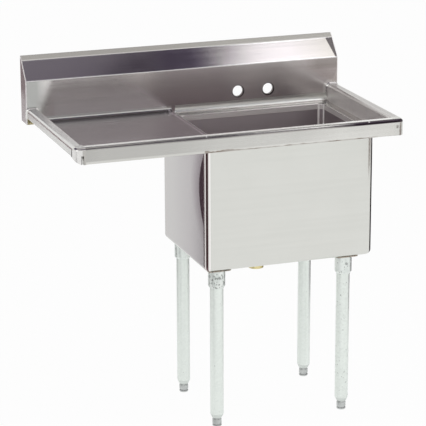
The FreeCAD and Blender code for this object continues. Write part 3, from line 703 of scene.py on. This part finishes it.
# Painted reflections on the face: bright at the upper left, darker in the middle and at the upper right.
bright_reflection_left = together(tree, remap(tree, x, -0.48, -0.43, 0.0, 1.0), remap(tree, x, -0.42, -0.20, 0.65, 1.1),
                     remap(tree, x, -0.155, -0.07, 1.0, 0.0),
                     remap(tree, z, rim_top + 0.008, rim_top + 0.072, 0.0, 0.9))
dark_reflection_right = together(tree, remap(tree, x, 0.40, 0.45, 0.0, 1.0),
                      remap(tree, z, rim_top + 0.045, rim_top + 0.060, 0.0, 1.0))
lay_tones(splash_sheet, on_face, (
    (bright_reflection_left, (0.98, 0.95, 0.94)),
    (smooth_band(tree, x, 0.04, 0.08, 0.08), (0.58, 0.54, 0.55)),
    (dark_reflection_right, (0.53, 0.505, 0.49))))
dress(splash_sheet, "backsplash")

# %% [markdown]
# The end caps are plates with an upright grain, ground flush with the backsplash, and their front edge carries a
# painted highlight. The edge leans back along the slope, and the mask follows it. The left cap is seen nearly edge
# on and carries a painted dark reflection in its upper half.

# %% End caps
slope_lean = 46.0 / 55.0
left_cap = brushed_sheet("left_cap_sheet", 2, (0.56, 0.52, 0.52), (0.46, 0.42, 0.43), 0.24)
tree, x, y, z = points_of(left_cap)
# Painted dark reflection in the upper half of the left cap.
lay_over(left_cap, remap(tree, z, rim_top + 0.02, rim_top + 0.06, 0.0, 1.0), (0.19, 0.115, 0.125))
right_cap = brushed_sheet("right_cap_sheet", 2, (0.62, 0.60, 0.59), (0.54, 0.52, 0.51), 0.24)
for cap, name in ((left_cap, "left_end_cap"), (right_cap, "right_end_cap")):
    tree, x, y, z = points_of(cap)
    slope_run = calc(tree, "MULTIPLY", calc(tree, "SUBTRACT", z, low_bend), slope_lean)
    front_edge = calc(tree, "ADD", splash_face, calc(tree, "MAXIMUM", slope_run, 0.0))
    # Painted highlight along the front edge.
    edge_highlight = remap(tree, calc(tree, "SUBTRACT", y, front_edge), 0.007, 0.010, 1.0, 0.0)
    lay_over(cap, edge_highlight, (0.96, 0.94, 0.93), 0.4, 0.3)
    dress(cap, name)

# %% [markdown]
# ## Polished steel
# Welds that are ground and polished by hand are smoother than the sheet and have no straight grain, only clouds
# and fine swirls. The same finish, a little duller, suits the pressed strainer in the bowl's floor.

# %% Polished steel
def polished_steel(name, rough=0.16, bright=(0.80, 0.795, 0.775), dull=(0.70, 0.69, 0.68)):
    material, tree, shader = new_material(name)
    cloud = noise(tree, (60.0, 60.0, 60.0), 4.0, 0.6)
    swirl = noise(tree, (320.0, 320.0, 320.0), 3.0, 0.6)
    share = remap(tree, cloud, 0.35, 0.65, 0.0, 1.0)
    plug(tree, shader.inputs["Base Color"], blend(tree, share, (*dull, 1.0), (*bright, 1.0)))
    plug(tree, shader.inputs["Roughness"], remap(tree, swirl, 0.3, 0.7, rough - 0.04, rough + 0.06))
    bump = add(tree, "ShaderNodeBump", Height=cloud, Strength=0.12, Distance=0.0012)
    plug(tree, shader.inputs["Normal"], bump.outputs[0])
    shader.inputs["Metallic"].default_value = 1.0
    return material


weld_polish = polished_steel("weld_polish")
drain_polish = polished_steel("drain_polish", 0.18, (0.70, 0.69, 0.68), (0.60, 0.59, 0.58))
dress(drain_polish, "strainer_body", "strainer_basket", "basket_post")

# %% [markdown]
# ## Rim corners
# The bullnosed corners close the rims, with open seams beside them. The left one is polished; its seams carry
# painted shade a little wider than they are cut, as the photograph shows them, and past the front seam it carries
# the same painted shade as the skirt beside it. The right one is brushed like the rim, and the painted shade of the
# bend runs on over it. Inside, both are rougher and carry painted shade: the mask measures how deep a point lies
# under the rounded outside.

# %% Rim corners
corner_radius = 0.020
seam, seam_half, seam_soft = 0.025, 0.0036, 0.0008
left_end, right_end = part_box("front_left_corner")[0].x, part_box("front_right_corner")[1].x


def shade_inside(material, end, inward):
    """Paints shade on the inside of a corner, which shows through its open seams."""
    tree, x, y, z = points_of(material)
    from_side = calc(tree, "MULTIPLY", calc(tree, "SUBTRACT", x, end), inward)
    from_front = calc(tree, "SUBTRACT", y, front_low.y)
    short_of = [calc(tree, "MAXIMUM", calc(tree, "SUBTRACT", corner_radius, value), 0.0)
                for value in (from_side, from_front)]
    depth = calc(tree, "SUBTRACT", corner_radius, distance(tree, *short_of))
    # Painted shade on the inside of the corner.
    within = together(tree, beyond(tree, depth, 0.0002), below(tree, z, rim_top - 0.0105))
    lay_over(material, within, (0.05, 0.04, 0.035), 0.7, 0.2)


left_polish = polished_steel("left_corner_polish")
tree, x, y, z = points_of(left_polish)
# Painted shade past the front seam, as on the skirt beside it.
shade_past_seam = together(tree, beyond(tree, x, left_end + seam), below(tree, y, front_low.y + 0.005),
                     below(tree, z, rim_top - 0.008))
lay_over(left_polish, shade_past_seam, (0.50, 0.49, 0.465))
# Painted shade in and beside the seams.
front_seam_shade = together(tree, smooth_band(tree, x, left_end + seam, seam_half, seam_soft),
                      below(tree, z, rim_top - 0.024))
side_seam_shade = together(tree, smooth_band(tree, y, front_low.y + seam, seam_half, seam_soft),
                     below(tree, z, rim_top - 0.011))
lay_over(left_polish, calc(tree, "MAXIMUM", front_seam_shade, side_seam_shade), (0.07, 0.06, 0.055), 0.6, 0.3)
shade_inside(left_polish, left_end, 1.0)
dress(left_polish, "front_left_corner")

right_polish = brushed_sheet("right_corner_polish", 0, (0.72, 0.72, 0.69), (0.63, 0.63, 0.60), 0.22)
tree, x, y, z = points_of(right_polish)
lay_over(right_polish, front_bend(tree, y, z), bend_shade)
shade_inside(right_polish, right_end, -1.0)
dress(right_polish, "front_right_corner")

# %% [markdown]
# ## Weld beads
# Each side rim is welded to the backsplash all the way round its end, and the bead is ground to a smooth roll. A
# curve with a bevel could make it, but a bead is only straight runs and quarter turns: a small ring is extruded
# along each run and spun round each bend, which keeps the faces even.

# %% Bead helpers
def unique(items):
    """Each item once, in the order of its first place."""
    return list(dict.fromkeys(items))


def only_edges(items):
    return [item for item in items if isinstance(item, bmesh.types.BMEdge)]


def run_ring(bm, ring, move):
    """Extrudes a ring of edges along a straight move and returns the new ring."""
    made = bmesh.ops.extrude_edge_only(bm, edges=ring)["geom"]
    moved = [item for item in made if isinstance(item, bmesh.types.BMVert)]
    bmesh.ops.translate(bm, verts=moved, vec=move)
    return [edge for edge in only_edges(made) if all(vert in moved for vert in edge.verts)]


def bend_ring(bm, ring, centre, axis, angle, steps=6):
    """Spins a ring of edges round a bend and returns the last ring."""
    around = unique(vert for edge in ring for vert in edge.verts) + ring
    result = bmesh.ops.spin(bm, geom=around, cent=centre, axis=axis, dvec=(0.0, 0.0, 0.0), angle=angle,
                            steps=steps, use_merge=False, use_duplicate=False)
    return only_edges(result["geom_last"])


def close_up(bm):
    """Caps the open ends and points all the faces outwards."""
    bmesh.ops.remove_doubles(bm, verts=bm.verts[:], dist=1e-6)
    bmesh.ops.holes_fill(bm, edges=[edge for edge in bm.edges if edge.is_boundary], sides=0)
    bmesh.ops.recalc_face_normals(bm, faces=bm.faces[:])


def smooth_piece(name, bm, material, body, crease=35.0):
    """Finishes a new piece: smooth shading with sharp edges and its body."""
    for face in bm.faces:
        face.smooth = True
    piece = make_object(name, bm, material)
    piece.data.set_sharp_from_angle(angle=math.radians(crease))
    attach(piece, body)
    print(name, len(piece.data.polygons), "faces on", body)
    return piece


# %% Weld beads
bead_radius = 0.0042
quarter = math.pi / 2
soft_crease = 60.0


def rim_end_bead(name, outer, inward, deck):
    """Bead round one rim's end: up the outside, over the top and down the inner wall to the deck."""
    bottom, bend_z = rim_top - 0.030, rim_top - rim_bend
    back = splash_face - bead_radius * 0.4
    width = rim_half * 2
    axis = (0.0, inward, 0.0)
    bm = bmesh.new()
    start = Matrix.Translation((outer, back, bottom))
    bmesh.ops.create_circle(bm, radius=bead_radius, segments=10, matrix=start)
    ring = run_ring(bm, bm.edges[:], (0.0, 0.0, bend_z - bottom))
    ring = bend_ring(bm, ring, (outer + inward * rim_bend, back, bend_z), axis, quarter)
    ring = run_ring(bm, ring, (inward * (width - 2 * rim_bend), 0.0, 0.0))
    ring = bend_ring(bm, ring, (outer + inward * (width - rim_bend), back, bend_z), axis, quarter)
    run_ring(bm, ring, (0.0, 0.0, deck - bend_z))
    close_up(bm)
    smooth_piece(name, bm, weld_polish, "sink", soft_crease)


rim_end_bead("left_rim_weld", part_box("left_rim")[0].x, 1.0, drainboard_top)
rim_end_bead("right_rim_weld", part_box("right_rim")[1].x, -1.0, ledge_top)

# %% [markdown]
# ## Galvanised legs
# The tubes and sockets are zinc coated. Zinc freezes into flat crystals, called spangle, a few millimetres across:
# a Voronoi texture gives each crystal its own grey. The coat also has small dark pits and runs along the tube. The
# front left socket is spattered, and the tube to its right is a little more worn than the others.

# %% Galvanised tube
def galvanised(name, bright, dull, crystal, pits, rough):
    """Zinc coat. Crystal is the number of crystals per metre; a higher level for pits leaves fewer of them."""
    material, tree, shader = new_material(name)
    place = add(tree, "ShaderNodeTexCoord").outputs["Object"]
    cells = add(tree, "ShaderNodeTexVoronoi", Vector=place, Scale=crystal)
    tone = add(tree, "ShaderNodeSeparateColor", Color=cells.outputs["Color"]).outputs[0]
    runs = noise(tree, (90.0, 90.0, 3.0), 3.0)
    share = calc(tree, "ADD", calc(tree, "MULTIPLY", tone, 0.35), calc(tree, "MULTIPLY", runs, 0.65))
    colour = blend(tree, remap(tree, share, 0.2, 0.75, 0.0, 1.0), (*dull, 1.0), (*bright, 1.0))
    spots = noise(tree, (170.0, 170.0, 110.0), 2.0, 0.4)
    pitted = remap(tree, spots, pits, pits + 0.05, 0.0, 0.7)
    plug(tree, shader.inputs["Base Color"], blend(tree, pitted, colour, (0.20, 0.21, 0.20, 1.0)))
    plug(tree, shader.inputs["Roughness"], remap(tree, tone, 0.0, 1.0, rough - 0.06, rough + 0.06))
    height = calc(tree, "ADD", runs, calc(tree, "MULTIPLY", tone, 0.3))
    bump = add(tree, "ShaderNodeBump", Height=height, Strength=0.10, Distance=0.0012)
    plug(tree, shader.inputs["Normal"], bump.outputs[0])
    shader.inputs["Metallic"].default_value = 0.9
    return material


corners = ("front_left", "front_right", "back_left", "back_right")
tube_coat = galvanised("tube_coat", (0.86, 0.91, 0.87), (0.78, 0.83, 0.79), 160.0, 0.74, 0.42)
worn_coat = galvanised("worn_coat", (0.87, 0.92, 0.88), (0.74, 0.79, 0.75), 150.0, 0.67, 0.42)
socket_coat = galvanised("socket_coat", (0.88, 0.92, 0.89), (0.70, 0.75, 0.72), 110.0, 0.67, 0.42)
spattered_coat = galvanised("spattered_coat", (0.90, 0.93, 0.90), (0.60, 0.65, 0.62), 95.0, 0.57, 0.40)
dress(tube_coat, "leg_tube_front_left", "leg_tube_back_left", "leg_tube_back_right")
dress(worn_coat, "leg_tube_front_right")
dress(socket_coat, *("leg_socket_" + corner for corner in corners[1:]), "drainboard_stiffener")
dress(spattered_coat, "leg_socket_front_left")

# %% [markdown]
# The plate of each socket is welded to the bowl's floor all round. The bead is the same extruded and spun ring as
# on the rims, run round a rounded square, and the heat has left it brown.

# %% Socket welds
burnt_weld = galvanised("burnt_weld", (0.56, 0.50, 0.43), (0.30, 0.24, 0.19), 300.0, 0.55, 0.45)
bead, plate_bend, sunk = 0.0022, 0.010, 0.0008
level = bowl_low.z - bead + sunk
for corner in corners:
    low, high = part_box("leg_socket_" + corner)
    middle = (low + high) / 2
    half = (high.x - low.x) / 2
    bm = bmesh.new()
    start = Matrix.Translation((low.x, low.y + plate_bend, level)) @ Matrix.Rotation(quarter, 4, "X")
    bmesh.ops.create_circle(bm, radius=bead, segments=8, matrix=start)
    ring = bm.edges[:]
    for step in range(4):
        turn_by = Matrix.Rotation(-step * quarter, 3, "Z")
        ring = run_ring(bm, ring, turn_by @ Vector((0.0, 2 * (half - plate_bend), 0.0)))
        centre = middle + turn_by @ Vector((plate_bend - half, half - plate_bend, 0.0))
        ring = bend_ring(bm, ring, (centre.x, centre.y, level), (0.0, 0.0, 1.0), -quarter)
    close_up(bm)
    smooth_piece("socket_weld_" + corner, bm, burnt_weld, "sink", soft_crease)

# %% [markdown]
# ## Cast metal, brass, rubber and fibre
# The small fittings have matt finishes of their own: the cast feet are grey with a sandy skin, the drain's nut
# and outlet are plain brass, and between them sit a rubber gasket and a fibre ring. One function makes them all,
# from two tones of the same colour, a grain size and a roughness.

# %% Matt fittings
def matt_fitting(name, light, dark, grain, rough, metal, depth):
    material, tree, shader = new_material(name)
    speck = noise(tree, (grain, grain, grain), 4.0, 0.6)
    stain = noise(tree, (grain / 9, grain / 9, grain / 9), 2.0)
    share = calc(tree, "ADD", calc(tree, "MULTIPLY", speck, 0.5), calc(tree, "MULTIPLY", stain, 0.5))
    share = remap(tree, share, 0.35, 0.65, 0.0, 1.0)
    plug(tree, shader.inputs["Base Color"], blend(tree, share, (*dark, 1.0), (*light, 1.0)))
    plug(tree, shader.inputs["Roughness"], remap(tree, speck, 0.3, 0.7, rough - 0.06, rough + 0.08))
    bump = add(tree, "ShaderNodeBump", Height=speck, Strength=depth, Distance=0.0008)
    plug(tree, shader.inputs["Normal"], bump.outputs[0])
    shader.inputs["Metallic"].default_value = metal
    return material


cast_foot = matt_fitting("cast_foot", (0.62, 0.64, 0.63), (0.42, 0.44, 0.43), 420.0, 0.40, 1.0, 0.35)
cast_plug = matt_fitting("cast_plug", (0.74, 0.78, 0.75), (0.58, 0.62, 0.59), 300.0, 0.42, 1.0, 0.25)
plain_brass = matt_fitting("plain_brass", (0.80, 0.72, 0.40), (0.66, 0.55, 0.25), 260.0, 0.34, 1.0, 0.15)
black_rubber = matt_fitting("black_rubber", (0.05, 0.05, 0.05), (0.03, 0.03, 0.03), 500.0, 0.75, 0.0, 0.2)
brown_fibre = matt_fitting("brown_fibre", (0.36, 0.26, 0.17), (0.25, 0.17, 0.10), 380.0, 0.85, 0.0, 0.3)
dress(cast_plug, *("foot_insert_" + corner for corner in corners))
dress(cast_foot, "socket_set_screws", *("bullet_foot_" + corner for corner in corners))
dress(plain_brass, "drain_locknut", "outlet_coupling")
dress(black_rubber, "drain_gasket")
dress(brown_fibre, "drain_slip_ring")

# %% [markdown]
# ## Feet
# An adjustable foot is a casting on a screw: a rounded tip, a body with six flats for a spanner, a neck, and a
# threaded stem that turns in the insert. The round parts are one outline spun about the axis. The flats are a
# hexagon that is extruded and bevelled. The thread is a small triangle that climbs while it is spun, because the
# spin's offset moves it up a little at each step.

# %% Foot shapes
def spin_outline(bm, outline, x, y, steps=32):
    """Turns an outline of (radius, height) points into a round body."""
    verts = [bm.verts.new((x + radius, y, z)) for radius, z in outline]
    edges = [bm.edges.new(pair) for pair in zip(verts, verts[1:])]
    bmesh.ops.spin(bm, geom=verts + edges, cent=(x, y, 0.0), axis=(0.0, 0.0, 1.0), dvec=(0.0, 0.0, 0.0),
                   angle=2 * math.pi, steps=steps, use_merge=True, use_duplicate=False)


def spin_thread(bm, x, y, root, crest, low, pitch, turns, steps=18):
    """Winds a triangular ridge up a stem."""
    outline = [(root, low), (crest, low + pitch / 2), (root, low + pitch)]
    verts = [bm.verts.new((x + radius, y, z)) for radius, z in outline]
    edges = [bm.edges.new((verts[i], verts[(i + 1) % 3])) for i in range(3)]
    bmesh.ops.spin(bm, geom=verts + edges, cent=(x, y, 0.0), axis=(0.0, 0.0, 1.0),
                   dvec=(0.0, 0.0, pitch / steps), angle=2 * math.pi * turns, steps=steps * turns,
                   use_merge=False, use_duplicate=False)


def spanner_flats(bm, x, y, radius, low, high):
    """Six-sided body with rounded edges."""
    start = Matrix.Translation((x, y, low)) @ Matrix.Rotation(math.radians(8.0), 4, "Z")
    made = bmesh.ops.create_circle(bm, cap_ends=False, radius=radius, segments=6, matrix=start)["verts"]
    run_ring(bm, unique(edge for vert in made for edge in vert.link_edges), (0.0, 0.0, high - low))
    sides = unique(face for vert in made for face in vert.link_faces)
    rims = unique(edge for face in sides for edge in face.edges)
    bmesh.ops.holes_fill(bm, edges=[edge for edge in rims if edge.is_boundary], sides=6)
    bmesh.ops.bevel(bm, geom=rims, offset=0.0012, segments=2, profile=0.5, affect="EDGES", material=-1)


# %% Feet
foot_height, stem_radius = 0.030, 0.0068
casting = [(0.0, 0.0), (0.0110, 0.0), (0.0132, 0.0010), (0.0142, 0.0030), (0.0142, 0.0055), (0.0128, 0.0070),
           (0.0122, 0.0080), (0.0122, 0.0255), (0.0128, 0.0265), (0.0128, 0.0280), (0.0115, foot_height)]
for corner in corners:
    low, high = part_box("bullet_foot_" + corner)
    x, y = (low.x + high.x) / 2, (low.y + high.y) / 2
    stem = [(stem_radius, foot_height), (stem_radius, high.z - 0.0010),
            (stem_radius - 0.0010, high.z), (0.0, high.z)]
    bm = bmesh.new()
    spin_outline(bm, casting + stem, x, y)
    spanner_flats(bm, x, y, 0.0145, 0.0085, 0.0250)
    spin_thread(bm, x, y, 0.0066, 0.0078, foot_height + 0.001, 0.0020, 15)
    close_up(bm)
    foot = smooth_piece("threaded_foot_" + corner, bm, cast_foot, "foot_" + corner)
    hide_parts("bullet_foot_" + corner)
